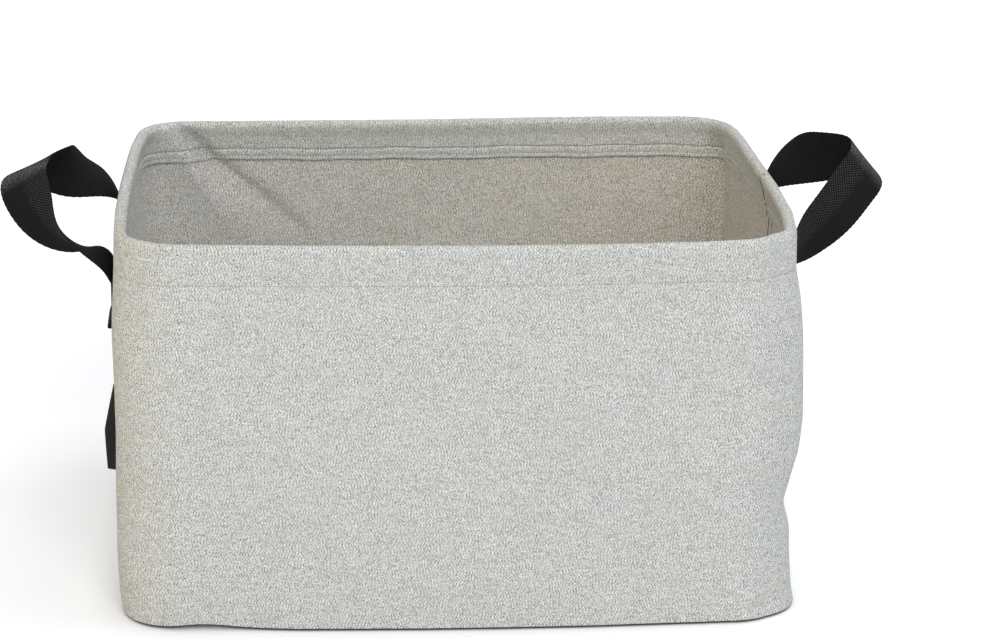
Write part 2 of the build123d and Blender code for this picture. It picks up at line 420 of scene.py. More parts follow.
def capsuleRun(name, middles, alongs, outwards, lengths, stitch, material):
    # one mesh of short rounded threads, each lying along its own direction
    turns = np.linspace(0, 2 * math.pi, 8, endpoint=False)
    stops = np.array([-1, -0.92, -0.6, 0, 0.6, 0.92, 1])
    girth = np.array([0.25, 0.62, 0.95, 1, 0.95, 0.62, 0.25])
    alongs = unit(alongs)
    outwards = unit(outwards - alongs * np.sum(alongs * outwards, axis=1, keepdims=True))
    sideways = np.cross(outwards, alongs)
    points, faces = [], []
    ringFaces = gridFaces(len(stops), len(turns), closed=True)
    perThread = len(stops) * len(turns)
    for n in range(len(middles)):
        ring = (
            middles[n]
            + (stops * lengths[n] / 2)[:, None, None] * alongs[n]
            + (girth[:, None] * np.cos(turns))[:, :, None] * stitch["width"] / 2 * sideways[n]
            + (girth[:, None] * np.sin(turns))[:, :, None] * stitch["height"] / 2 * outwards[n]
        )
        points.append(ring.reshape(-1, 3))
        first = n * perThread
        faces += [[c + first for c in f] for f in ringFaces]
        faces.append([first + k for k in range(len(turns))][::-1])
        faces.append([first + perThread - len(turns) + k for k in range(len(turns))])
    return makePiece(name, np.concatenate(points), faces, material, sharp=80)


# The cloth body: one outline round the bin, swelled and dented as the photograph shows it.
# run = distance round the outline from the left seam by way of the front.
# rim, foot and lean list places round the outline and how far the cloth stands out there, in millimetres;
# lean is how far the top band leans out over the wall below it. The corner lists give height and swell.
body = dict(
    rim=(
        (0, 6), (80, 5), (135, 2), (176, -4), (226, 0), (295, 4.5), (427, 8), (500, 6.5), (565, 2.5),
        (598, -2.5), (629, -8), (660, -0.5), (710, 5), (780, 6.5), (850, 5.5), (930, 5), (960, 3.5), (988, 9),
        (1078, 10.5), (1135, 8.5), (1216, 3.5), (1320, 2), (1410, 1), (1435, 4), (1460, 2.5), (1500, 5),
    ),
    foot=(
        (0, 5.5), (110, 4), (145, 1.5), (170, 0.5), (192, -0.5), (222, 0), (253, 2), (290, 5.5), (377, 8.5),
        (430, 9), (494, 8.5), (572, 5.5), (600, 3.5), (622, 0.5), (640, 2), (662, 2.5), (710, 4), (806, 2.5),
        (900, 3), (950, 2), (982, 4), (1078, 5), (1216, 6), (1350, 4), (1405, 1), (1435, 3), (1470, 1.5),
    ),
    lean=(
        (176, 0), (260, 4), (400, 6), (560, 5), (629, 0), (720, 0), (805, -2.5), (900, 0), (982, 3),
        (1030, 5.5), (1120, 5.5), (1200, 3.5), (1320, 2), (1435, 0),
    ),
    softness=0.005, footSoftness=0.0022, leanSoftness=0.010, leanFrom=0.240,
    leftCorner=(
        (0, 0.002), (0.016, 0.004), (0.066, 0.004), (0.102, 0.005), (0.150, 0.0055), (0.205, 0.004),
        (0.231, 0.0025), (0.279, 0.001),
    ),
    rightCorner=(
        (0, 0.006), (0.012, 0.0035), (0.040, 0), (0.060, -0.0005), (0.077, -0.0045), (0.096, 0.0015),
        (0.117, 0.008), (0.140, 0.0105), (0.162, 0.0095), (0.195, 0.007), (0.227, 0.004), (0.249, 0.0005),
        (0.279, 0),
    ),
    leftCornerRun=0.146, rightCornerRun=halfRound - 0.149, frontCornerSpread=0.046,
    dent=dict(height=0.078, spread=0.02, narrow=0.35),     # in the right corner, narrower than its swell
    belly=dict(out=0.0035, height=0.205, spread=0.050, near=0.06, far=0.15),     # behind the left handle
    backRight=dict(run=halfRound + sideRun + cornerRun / 2, spread=0.011, out=0.0075, top=0.252, end=0.276),
    ripple=dict(out=0.0009, foot=0.05, top=0.19, end=0.255, rise=0.1),
    seam=dict(pinch=0.0008, spread=0.0035, top=0.255, end=0.27),
    stitchHeight=0.2505, stitchPinch=0.00045, pinchSpread=0.0011,
)

# Slanting fold in the back left corner, seen from inside: a valley that runs from the rim down to the
# right, with a steep side on its right and a broad flat on its left that cuts off the corner
cornerFold = dict(
    line=(
        (0.188, -0.110), (0.223, -0.150), (0.248, -0.181), (0.255, -0.187), (0.267, -0.197), (0.279, -0.206),
    ),
    depth=(
        (0.160, 0.0), (0.180, 0.0022), (0.205, 0.0048), (0.225, 0.0068), (0.248, 0.0085), (0.262, 0.0065),
        (0.272, 0.0030), (0.279, 0.0),
    ),
    softness=0.003, steep=0.0075, corner=-0.229, turn=0.45, cut=1.05, front=0.10, back=0.15,
)

floorLift = dict(run=0.222, spread=0.026, lift=0.0026, top=0.03)     # loose edge by the front left corner

waves = [
    dict(
        turns=int(rng.integers(5, 17)), rise=rng.uniform(1.0, 4.5),
        phase=rng.uniform(0, 6.28), tall=rng.uniform(0.5, 1.0),
    )
    for _ in range(9)
]


def outline(run):
    # place on the plain outline and the direction that faces out of it
    run = np.mod(np.asarray(run, float), fullRound)
    turned = np.where(run >= halfRound, -1.0, 1.0)
    run = np.where(run >= halfRound, run - halfRound, run)
    w, d, r = binSize["width"] / 2, binSize["depth"] / 2, binSize["radius"]
    a, b, c, e = np.cumsum([sideRun, cornerRun, frontRun, cornerRun])
    angle = np.select(
        [run < a, run < b, run < c, run < e],
        [0 * run, (run - a) / r, 0 * run + math.pi / 2, math.pi / 2 + (run - c) / r],
        math.pi,
    )
    nx, ny = -np.cos(angle), -np.sin(angle)
    x = np.select([run < b, run < c], [-w + r, -w + r + run - b], w - r)
    y = np.select([run < a, run < e], [-run, -d + r + 0 * run], -d + r + run - e)
    return turned * (x + r * nx), turned * (y + r * ny), turned * nx, turned * ny


def standOut(points, softness):
    # evens out a list of places and distances, all the way round, into one value each millimetre
    places, values = np.array(points, float).T / 1000
    fine = np.arange(0, fullRound, millimetre)
    line = roundedOff(np.interp(fine, places, values, period=fullRound), softness, "wrap")
    return lambda run: np.interp(run, fine, line, period=fullRound)


rimOut = standOut(body["rim"], body["softness"])
footOut = standOut(body["foot"], body["footSoftness"])
rimLean = standOut(body["lean"], body["leanSoftness"])


def below(form, z):
    # a form fades out from its top to its end
    return 1 - ease(form["top"], form["end"], z)


def swell(run, z):
    # how far the cloth stands out of the plain outline
    run = np.mod(np.asarray(run, float), fullRound)
    fromLeft = np.minimum(run, fullRound - run)
    tall = np.clip(z / binSize["height"], 0, 1)
    out = footOut(run) + (rimOut(run) - footOut(run)) * tall
    out = out - rimLean(run) * tall * (1 - ease(body["leanFrom"], binSize["height"], z))
    belly = body["belly"]
    middle = 1 - ease(belly["near"], belly["far"], fromLeft)
    out = out + belly["out"] * hump(z, belly["height"], belly["spread"]) * middle
    dent, spread = body["dent"], body["frontCornerSpread"]
    out = out + hump(run, body["leftCornerRun"], spread) * softCurve(body["leftCorner"], z)
    spread = spread * (1 - dent["narrow"] * hump(z, dent["height"], dent["spread"]))
    out = out + hump(run, body["rightCornerRun"], spread) * softCurve(body["rightCorner"], z)
    sharp = body["backRight"]
    out = out + sharp["out"] * hump(run, sharp["run"], sharp["spread"]) * below(sharp, z)
    ripple, swing = body["ripple"], 0
    loose = ease(0.0, ripple["foot"], z) * below(ripple, z)
    for wave in waves:
        turns = wave["turns"] * 2 * math.pi * run / fullRound
        swing = swing + wave["tall"] * np.sin(turns + wave["rise"] * z / ripple["rise"] + wave["phase"])
    out = out + ripple["out"] * loose * swing / 2
    seam = body["seam"]
    near = hump(fromLeft, 0, seam["spread"]) + hump(run, halfRound, seam["spread"])
    return out - seam["pinch"] * near * below(seam, z)


def clothPoint(run, inset, z):
    # a point of the dented body, this far inside its outer face
    run, inset, z = np.broadcast_arrays(np.asarray(run, float), inset, z)
    x, y, nx, ny = outline(run)
    out = swell(run, z) - inset
    x, y = x + nx * out, y + ny * out
    fold = cornerFold
    valley = softCurve(fold["line"], z, fold["softness"])
    share = (valley - x) / (valley - fold["corner"])
    flat = np.interp(share, (0, fold["turn"], 1), (1, -fold["cut"], 0))
    push = np.where(share < 0, hump(x, valley, fold["steep"]), flat) * softCurve(fold["depth"], z)
    push = push * ease(fold["front"], fold["back"], y)
    lift = floorLift["lift"] * hump(run, floorLift["run"], floorLift["spread"])
    return np.stack([x, y + push, z + lift * (1 - ease(0, floorLift["top"], z))], -1)


# Panels: wall, rolled hem and turned-under edge are one length of cloth

hem = dict(
    rollRadius=0.00435, rollTurn=196,
    leafTop=(0.0076, 0.2715), leafMiddle=(0.0054, 0.2655), leafFoot=(0.0040, 0.2572),
    groove=0.0022, grooveLine=((0.0007, 0.2565), (0, 0.2560), (0.0002, 0.2555)),
    ridge=0.0036, ridgeLean=0.06, ridgeTop=0.2550, ridgeStep=0.0003,
    foldHeight=0.2466, foldSlack=0.0001, rawEdge=0.2538, wave=0.0004,
    tuck=0.0016, tuckHeight=0.0002, tuckReach=0.0062,    # the bottom edge turns in to meet the base panel
    # the hem's open join at the right seam
    joinReach=0.045, joinDrift=0.007, joinGap=0.0012, joinTurn=0.0036, joinFrom=0.0032, joinSink=0.0024,
)

# Rows and columns of the cloth's points: closer together along the stitching and by the seams
clothGrid = dict(
    wall=(0.0065, 0.244, 62),
    stitched=(
        0.2465, 0.248, 0.2492, 0.2499, 0.2505, 0.2511, 0.2518, 0.253, 0.2555, 0.259, 0.263, 0.267, 0.271,
    ),
    ridge=(0.2544, 0.2536, 0.2524, 0.2515, 0.2510, 0.2505, 0.2500, 0.2495, 0.2486),
    under=(0.2492, 0.2510, 0.2526),
    ends=(0.0001, 0.0006, 0.0012, 0.0018, 0.0026, 0.0036), inner=0.0052, innerCount=266,
)


def clothLine():
    # the middle of the cloth, as inset and height, from its bottom edge, up the wall, over the rim
    # and under the hem
    half, tuck, roll = binSize["cloth"] / 2, hem["tuck"], hem["rollRadius"]
    low = hem["tuckHeight"] + half
    line = [(half + tuck + hem["tuckReach"] * k, low) for k in (1, 0.5, 0.15)]
    for a in np.linspace(0, math.pi / 2, 8):
        line.append((half + tuck - tuck * math.sin(a), low + tuck - tuck * math.cos(a)))
    # painted contact shadow: the rounded edge on the floor takes the dark shade colour
    floorShadowRows = (2, len(line) - 2)     # the edge that stands on the floor is dark
    line += [(half, z) for z in (*np.linspace(*clothGrid["wall"]), *clothGrid["stitched"])]
    wallEnd = len(line)
    middle = binSize["height"] - roll
    for a in np.radians(np.linspace(0, hem["rollTurn"], 18)):
        line.append((roll - (roll - half) * math.cos(a), middle + (roll - half) * math.sin(a)))
    rollEnd = len(line)
    top, middle, foot = [np.array(hem[key]) for key in ("leafTop", "leafMiddle", "leafFoot")]
    line += [tuple(top + (middle - top) * k) for k in np.linspace(0, 1, 5)]
    line += [tuple(middle + (foot - middle) * k) for k in np.linspace(0.2, 1, 5)]

    def onRidge(z):
        return hem["ridge"] + hem["ridgeLean"] * (z - body["stitchHeight"])

    line += [(hem["groove"] + more, z) for more, z in hem["grooveLine"]]
    line.append((onRidge(hem["ridgeTop"]) - hem["ridgeStep"], hem["ridgeTop"]))
    line += [(onRidge(z), z) for z in clothGrid["ridge"]]
    turn = half + hem["foldSlack"]
    bottom, edge = hem["foldHeight"] + half + turn, onRidge(hem["foldHeight"])
    for a in np.linspace(0, math.pi, 7):
        line.append((edge - turn + turn * math.cos(a), bottom - turn * math.sin(a)))
    leafEnd = len(line) - 4
    line += [(edge - 2 * turn, z) for z in (*clothGrid["under"], hem["rawEdge"])]
    return np.array(line), floorShadowRows, wallEnd, rollEnd, leafEnd


def hemWave(run):
    # the hem's inner edge isn't quite level
    return hem["wave"] * (np.sin(61 * run + 1) + 0.7 * np.sin(143 * run))


def panelPiece(name, firstRun, lastRun, nodes):
    line, floorShadowRows, wallEnd, rollEnd, leafEnd = clothLine()
    order = np.arange(len(line))
    steps = unit(np.gradient(line, axis=0))
    across = np.stack([-steps[:, 1], steps[:, 0]], -1) * binSize["cloth"] / 2
    length = distances(line)
    pinch = body["stitchPinch"] * hump(line[:, 1], body["stitchHeight"], body["pinchSpread"])
    line[:, 0] += pinch * np.where(order < rollEnd, 1, -1)

    ends = np.array(clothGrid["ends"])
    inner = np.linspace(firstRun + clothGrid["inner"], lastRun - clothGrid["inner"], clothGrid["innerCount"])
    run = np.concatenate([firstRun + ends, inner, lastRun - ends[::-1]])

    # by the right seam the hem drifts along the rim, and both edges of its join stand apart and turn in
    fromJoin = np.abs(run - halfRound)
    start = (wallEnd + rollEnd) // 2
    hemShare = np.clip((length - length[start]) / (length[leafEnd] - length[start]), 0, 1)
    bulge = np.sin(math.pi * hemShare ** 0.8)
    apart = hem["joinGap"] * np.clip(bulge, 0, 1) ** 0.3 * (1 if firstRun >= halfRound else -1)
    nearJoin = 1 - ease(0, hem["joinReach"], fromJoin)
    runGrid = run[:, None] + nearJoin[:, None] * (hem["joinDrift"] * bulge + apart)[None, :]
    turnedIn = np.clip((line[:, 0] - hem["joinFrom"]) / 2, 0, hem["joinSink"])
    sink = (1 - ease(0, hem["joinTurn"], fromJoin))[:, None] * np.where(order > start, turnedIn, 0)

    waved = np.clip((order - rollEnd) / 8, 0, 1)[None, :]
    faces = []
    for sign in (1, -1):
        inset = line[:, 0] + sign * across[:, 0]
        height = line[:, 1] + sign * across[:, 1]
        faces.append(clothPoint(runGrid, inset[None, :] - sink, height[None, :] + hemWave(runGrid) * waved))
    uv = np.stack([runGrid, np.broadcast_to(length, runGrid.shape)], -1)
    last = len(run) - 1
    # painted shade in the hem's open join and along the edge on the floor
    joinShadeRows = range(4) if firstRun >= halfRound else range(last - 4, last)
    marked = [
        (linenTurned, range(last), range(start + 2, leafEnd + 4)),
        (paintedShade, joinShadeRows, range(rollEnd, leafEnd)),
        (paintedShade, range(last), range(*floorShadowRows)),
    ]
    piece = sheetPiece(name, *faces, linen, uv, uv + insideShift, backing=linenInside, marked=marked)
    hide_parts(*nodes)
    onRim(piece)
    return piece


def onRim(piece):
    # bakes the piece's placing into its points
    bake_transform(piece)


frontPanel = panelPiece("front_panel", 0.0, halfRound, ("front_wall", "front_hem"))
backPanel = panelPiece("back_panel", halfRound, fullRound, ("back_wall", "back_hem"))
print("panels:", len(frontPanel.data.vertices) + len(backPanel.data.vertices), "points")


# Hem stitching, outside and inside

hemStitch = dict(
    pitch=0.0038, length=0.0030, width=0.0007, height=0.00055, first=0.006, last=0.005, wobble=0.00012)


def hemStitches(name, firstRun, node):
    lastRun = firstRun + halfRound - hemStitch["last"]
    run = np.arange(firstRun + hemStitch["first"], lastRun, hemStitch["pitch"])
    middles, alongs, outwards = [], [], []
    ridge = hem["ridge"] + binSize["cloth"] / 2
    for inset, facing in ((body["stitchPinch"], 1), (ridge - body["stitchPinch"], -1)):
        height = body["stitchHeight"] + rng.normal(0, hemStitch["wobble"], len(run))
        height = height + (hemWave(run) if facing < 0 else 0)
        middles.append(clothPoint(run, inset, height))
        ahead, behind = [clothPoint(run + step, inset, height) for step in (millimetre, -millimetre)]
        alongs.append(ahead - behind)
        _, _, nx, ny = outline(run)
        outwards.append(np.stack([nx, ny, 0 * nx], -1) * facing)
    lengths = hemStitch["length"] * rng.uniform(0.9, 1.08, 2 * len(run))
    middles, alongs, outwards = [np.concatenate(rows) for rows in (middles, alongs, outwards)]
    piece = capsuleRun(name, middles, alongs, outwards, lengths, hemStitch, hemThread)
    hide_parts(node)
    onRim(piece)
    return piece


hemStitches("front_hem_thread", 0.0, "front_hem_stitching")
hemStitches("back_hem_thread", halfRound, "back_hem_stitching")
print("hem stitched")


# Rim tubes in the roll, and the plugs that join them at the side seams

rimTube = dict(radius=0.0030, bore=0.0020, gap=0.0002, plugRadius=0.00195, plugHalf=0.030)


def rimRod(name, run, radius, bore, node):
    inset, height = hem["rollRadius"], binSize["height"] - hem["rollRadius"]
    turns = np.linspace(0, 2 * math.pi, 14, endpoint=False)
    rings = [
        clothPoint(run[:, None], inset + size * np.cos(turns), height + size * np.sin(turns))
        for size in (radius, bore) if size
    ]
    rows, count = len(run), len(turns)
    faces = gridFaces(rows, count, closed=True)
    if bore:
        faces += gridFaces(rows, count, closed=True, start=rows * count)
        for first in (0, (rows - 1) * count):
            for k in range(count):
                n = (k + 1) % count
                faces.append([first + k, first + n, rows * count + first + n, rows * count + first + k])
    else:
        faces += [list(range(count)), [(rows - 1) * count + k for k in range(count)]]
    piece = makePiece(name, np.concatenate(rings), faces, rimPlastic)
    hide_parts(node)
    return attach(piece, "rim")


for half, first in (("front", 0.0), ("back", halfRound)):
    run = np.linspace(first + rimTube["gap"], first + halfRound - rimTube["gap"], 160)
    rimRod(f"{half}_tube", run, rimTube["radius"], rimTube["bore"], f"{half}_rim_tube")
for side, middle in (("left", fullRound), ("right", halfRound)):
    run = np.linspace(middle - rimTube["plugHalf"], middle + rimTube["plugHalf"], 20)
    rimRod(f"{side}_tube_plug", run, rimTube["plugRadius"], 0, f"{side}_rim_plug")


# Base: outer panel, stiff board, lining, and the tape round its edge

base = dict(
    panelInset=0.0090, panelTop=0.0012,
    boardInset=0.0125, boardBottom=0.0013, boardTop=0.0036,
    liningInset=0.0016, liningBottom=0.0037, liningTop=0.0045, liningWave=0.0006,
    tapeInset=0.0013, tapeThick=0.0008, tapeBottom=0.0046, tapeTop=0.0165, tapeWave=0.0004, tapeUv=0.012,
)


def discPiece(name, inset, bottom, top, material, wave=0.0):
    run = np.linspace(0, fullRound, 260, endpoint=False)
    edge = clothPoint(run, inset, top)[:, :2]
    shares = np.concatenate([[1, 0.995], np.linspace(0.97, 0.04, 26)])
    points, uv = [], []
    for level, order in ((top, shares), (bottom, shares[::-1])):
        for share in order:
            xy = edge * share
            ripple = 0
            if wave and level == top:
                ripple = wave * (np.sin(xy[:, 0] * 31 + 1) * np.sin(xy[:, 1] * 37 + 2) + 1) * (1 - share ** 8)
            points.append(np.column_stack([xy, np.full(len(xy), level) + ripple]))
            uv.append(xy)
    # rows run from the middle of the top, out to the edge and back under
    points = points[len(shares) - 1::-1] + points[:len(shares) - 1:-1]
    uv = uv[len(shares) - 1::-1] + uv[:len(shares) - 1:-1]
    rows, count = len(points), len(run)
    faces = gridFaces(rows, count, closed=True)
    points, uv = np.concatenate(points), np.concatenate(uv)
    for first, level in ((0, points[0, 2]), ((rows - 1) * count, bottom)):
        points = np.vstack([points, [0, 0, level]])
        uv = np.vstack([uv, [0, 0]])
        faces += [[len(points) - 1, first + k, first + (k + 1) % count] for k in range(count)]
    piece = makePiece(name, points, faces, material, uv)
    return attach(piece, "tub")


basePanel = discPiece("base_cloth", base["panelInset"], 0.0, base["panelTop"], linen)
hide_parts("base_panel")
baseBoard = discPiece("stiff_board", base["boardInset"], base["boardBottom"], base["boardTop"], greyCard)
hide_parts("base_board")
baseLining = discPiece("floor_lining", base["liningInset"], base["liningBottom"], base["liningTop"],
                       liningCloth, wave=base["liningWave"])
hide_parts("base_lining")


def floorTape():
    run = np.linspace(0, fullRound, 420, endpoint=False)
    # shares of the tape's thickness and height, round its section
    across, up = np.array([
        (0.0, 0.0), (0.0, 0.35), (0.0, 0.7), (0.05, 0.95), (0.5, 1.0),
        (0.95, 0.95), (1.0, 0.7), (1.0, 0.35), (1.0, 0.05), (0.5, 0.0),
    ]).T
    inset = base["tapeInset"] + across * base["tapeThick"]
    ring = clothPoint(run[:, None], inset, base["tapeBottom"] + up * (base["tapeTop"] - base["tapeBottom"]))
    ring[..., 2] += base["tapeWave"] * np.sin(run * 90)[:, None] * up
    uv = np.stack(np.broadcast_arrays(run[:, None], up * base["tapeUv"]), -1)
    count = len(up)
    faces = gridFaces(len(run), count, closed=True)
    last = (len(run) - 1) * count
    faces += [[last + j, j, (j + 1) % count, last + (j + 1) % count] for j in range(count)]
    piece = makePiece("floor_tape", ring, faces, bindingTape, uv)
    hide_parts("base_binding")
    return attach(piece, "tub")


floorTape()


# Tapes over the side seams, inside

seamTape = dict(halfWidth=0.007, inset=0.0013, thick=0.0008, bottom=0.0168, top=0.2460)


def seamTapePiece(name, seamRun, node):
    across = np.array([-1, -0.75, -0.5, -0.2, -0.1, -0.05, 0, 0.05, 0.1, 0.2, 0.5, 0.75, 1])
    heights = np.linspace(seamTape["bottom"], seamTape["top"], 60)
    run = seamRun + seamTape["halfWidth"] * across
    dome = 1 - 0.45 * across ** 6 - 0.85 * hump(across, 0, 0.07)     # sewn down along its middle
    faces = [
        clothPoint(run[None, :], seamTape["inset"] + depth * dome[None, :], heights[:, None])
        for depth in (seamTape["thick"], 0)
    ]
    uv = np.stack(np.broadcast_arrays(run[None, :], heights[:, None]), -1)
    # painted shade along the tape's stitched middle
    marked = [(paintedShade, range(len(heights) - 1), range(3, 9))]     # the columns along the middle
    piece = sheetPiece(name, *faces, bindingTape, uv, uv, marked=marked)
    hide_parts(node)
    onRim(piece)
    return piece


seamTapePiece("left_inside_tape", fullRound, "left_seam_tape")
seamTapePiece("right_inside_tape", halfRound, "right_seam_tape")
print("base and tapes ready")


# Webbing handles. A loop is a path of a few places from its front end to its back end, in millimetres:
# out from the wall line, along the side, up. Twist gives the turn in degrees about the path at shares
# of its free length, and crown is the share at which the fluff lies.

# the inner face shows no painted highlights
plainSide = (0, 0.05)     # the inner face shows only the finer ribs
strap = dict(
    width=0.0385, thick=0.0018, lift=0.0006, spacing=0.070, scallopPitch=0.0042, scallop=0.00015,
    step=0.0011, round=0.005, twistRound=0.012, flatFor=0.030, freeFrom=0.046,
    bends=((0.008, 0.230), (0.074, 0.300)),     # out and up
)

leftHandle = dict(
    side=-1, crown=0.475,
    path=(
        (11, -71, 235), (28, -70, 246), (46, -60, 252), (66, -38, 268), (75.5, -12, 285), (72, 4, 288),
        (48, 26, 279), (30, 44, 270), (16, 62, 257),
    ),
    twist=(
        (0, 0), (0.07, 14), (0.17, -30), (0.30, -90), (0.42, -116), (0.54, -116), (0.61, -96), (0.67, -46),
        (0.73, -9), (0.80, 9), (0.90, 5), (1, 0),
    ),
)
rightHandle = dict(
    side=1, crown=0.46,
    path=(
        (10, -67, 233), (24, -58, 246), (45, -44, 262), (62, -26, 276), (76, -6, 288), (75, 5, 291),
        (50, 23, 287), (32, 43, 279), (17, 62, 264),
    ),
    twist=(
        (0, 0), (0.10, -45), (0.25, -72), (0.40, -75), (0.50, -69), (0.64, -25), (0.76, 15), (0.88, 38),
        (1, 0),
    ),
)
strapEnd = dict(
    heights=(0.1920, 0.1950, 0.1995, 0.2065, 0.2145, 0.2225, 0.2265), flare=0.0025, flareLength=0.010,
    fold=0.9, foldFrom=0.004, foldLength=0.010,     # the end is turned under, so it is thicker there
)


def sideRunAt(side, along):
    # place on the outline that lies this far along a side wall
    return np.mod(-along, fullRound) if side < 0 else halfRound + along


def legPlaces(side, along):
    # the sewn end, from its loose tip upwards, and the direction across it
    heights = np.array(strapEnd["heights"])
    flare = strapEnd["flare"] * (1 - ease(0, strapEnd["flareLength"], heights - heights[0]))
    rise = strap["lift"] + strap["thick"] / 2 + flare
    places = clothPoint(sideRunAt(side, along), -rise, heights)
    ahead, behind = [
        clothPoint(sideRunAt(side, along + step), -rise[-1], heights[-1]) for step in (0.01, -0.01)
    ]
    return places, (ahead - behind) / np.linalg.norm(ahead - behind)


def smoothThrough(values, knots, at):
    # a curve through every value, by way of each one's neighbours
    slopes = np.gradient(values, knots, axis=0)
    i = np.clip(np.searchsorted(knots, at) - 1, 0, len(knots) - 2)
    gap = (knots[i + 1] - knots[i])[:, None]
    t = ((at - knots[i]) / (knots[i + 1] - knots[i]))[:, None]
    return (
        (2 * t ** 3 - 3 * t ** 2 + 1) * values[i] + (t ** 3 - 2 * t ** 2 + t) * gap * slopes[i]
        + (-2 * t ** 3 + 3 * t ** 2) * values[i + 1] + (t ** 3 - t ** 2) * gap * slopes[i + 1]
    )


def evenOut(values, at, spread):
    # rounds a line off along its length; the sewn ends keep theirs
    steps = spread / strap["step"]
    reach = int(3 * steps)
    kernel = hump(np.arange(-reach, reach + 1), 0, 1.414 * steps)
    padded = np.pad(values, ((reach, reach), (0, 0)), mode="reflect", reflect_type="odd")
    smooth = np.stack([np.convolve(line, kernel / kernel.sum(), mode="valid") for line in padded.T], -1)
    free = ease(strap["flatFor"], strap["freeFrom"], np.minimum(at, at[-1] - at))[:, None]
    return values + free * (smooth - values)


def loopLine(handle):
    # middle line of the webbing, the directions along and across it, and the length from end to end
    side = handle["side"]
    front, frontAcross = legPlaces(side, -strap["spacing"])
    back, backAcross = legPlaces(side, strap["spacing"])
    path = np.array(handle["path"], float) / 1000
    path[:, 0] = side * (binSize["width"] / 2 + path[:, 0])
    places = np.concatenate([front, path, back[::-1]])
    knots = distances(places)
    at = np.arange(0, knots[-1], strap["step"])
    middle = evenOut(smoothThrough(places, knots, at), at, strap["round"])
    along = unit(np.gradient(middle, axis=0))
    width = np.zeros_like(middle)
    carried = frontAcross
    for k, ahead in enumerate(along):       # carried along the path without turning about it
        carried = carried - ahead * np.dot(ahead, carried)
        carried = carried / np.linalg.norm(carried)
        width[k] = carried
    level = side * np.cross(along, width)
    left = math.degrees(math.atan2(-np.dot(backAcross, level[-1]), -np.dot(backAcross, width[-1])))
    shares, turns = np.array(handle["twist"], float).T
    turns[-1] += left                       # so that the back end lies flat on the wall
    first, last = knots[len(front) - 1], knots[-len(back)]
    turn = np.interp((at - first) / (last - first), shares, turns)
    turn = np.radians(evenOut(turn[:, None], at, strap["twistRound"]))
    width = np.cos(turn) * width + np.sin(turn) * level
    length = distances(middle)
    crown = np.interp(first + handle["crown"] * (last - first), at, length)
    return middle, along, width, length, crown


def handlePiece(name, handle, nodes):
    side = handle["side"]
    middle, along, width, length, crown = loopLine(handle)
    normal = np.cross(along, width)

    across = np.array([-1, -0.97, -0.9, -0.78, -0.6, -0.4, -0.2, 0, 0.2, 0.4, 0.6, 0.78, 0.9, 0.97, 1])
    thick = strap["thick"] / 2 * np.sqrt(1 - 0.8 * across ** 12)
    fromEnd = np.minimum(length, length[-1] - length) - strapEnd["foldFrom"]
    folded = 1 + strapEnd["fold"] * (1 - ease(0, strapEnd["foldLength"], fromEnd))
    scallop = strap["scallop"] * np.sin(2 * math.pi * length / strap["scallopPitch"])
    reach = strap["width"] / 2 + scallop[:, None] * np.abs(across)[None, :] ** 8
    flat = middle[:, None, :] + (across[None, :] * reach)[:, :, None] * width[:, None, :]
    out = side * (folded[:, None] * thick[None, :])[:, :, None] * -normal[:, None, :]
    place = np.stack(np.broadcast_arrays(length[:, None] - crown, across[None, :] * strap["width"] / 2), -1)
    piece = sheetPiece(name, flat + out, flat - out, webbing, place, place + plainSide)
    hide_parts(*nodes)
    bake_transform(piece)
    print(name, "length", round(float(length[-1]), 4))
    return piece


for side, handle in (("left", leftHandle), ("right", rightHandle)):
    handlePiece(
        f"{side}_webbing", handle,
        (f"{side}_strap_front_end", f"{side}_strap_back_end", f"{side}_strap_loop"))


# Square-and-cross stitching on the webbing ends

boxStitch = dict(
    pitch=0.0030, length=0.0024, width=0.0007, height=0.00055, halfWidth=0.0145, bottom=0.2005, top=0.2240)


def boxStitches(side, sign):
    middles, alongs, outwards = [], [], []
    rise = strap["lift"] + strap["thick"]
    corners = [(-1, 0), (1, 0), (1, 1), (-1, 1)]
    runs = [(corners[k], corners[(k + 1) % 4]) for k in range(4)]
    runs += [(corners[0], corners[2]), (corners[1], corners[3])]

    def onEnd(end, corner):
        along = end * strap["spacing"] + corner[0] * boxStitch["halfWidth"]
        return np.array([along, boxStitch["bottom"] + corner[1] * (boxStitch["top"] - boxStitch["bottom"])])

    for end in (-1, 1):
        for first, last in runs:
            a, b = onEnd(end, first), onEnd(end, last)
            count = int(np.linalg.norm(b - a) / boxStitch["pitch"])
            for share in (np.arange(count) + 0.5) / count:
                here, ahead = a + (b - a) * share, a + (b - a) * (share + 0.02)
                point = clothPoint(sideRunAt(sign, here[0]), -rise, here[1])
                middles.append(point)
                alongs.append(clothPoint(sideRunAt(sign, ahead[0]), -rise, ahead[1]) - point)
                outwards.append((sign, 0, 0))
    piece = capsuleRun(
        f"{side}_webbing_thread", np.array(middles), np.array(alongs), np.array(outwards, float),
        np.full(len(middles), boxStitch["length"]), boxStitch, webbingThread)
    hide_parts(f"{side}_strap_stitching")
    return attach(piece, "rim")


boxStitches("left", -1)
boxStitches("right", 1)
print("handles sewn")


# Bare woven tab in the left side seam

tab = dict(
    bottom=0.0500, top=0.1195, reach=0.0168, topReach=0.0085, slantFrom=0.084, thick=0.0010, root=0.0020,
    turn=0.20, wave=0.0006, lift=0.0030, overlap=0.0004, sunk=0.0006,
    bendFrom=-0.2397, bendTo=-0.2577, bendHeight=0.086,     # two places along x and a height
)


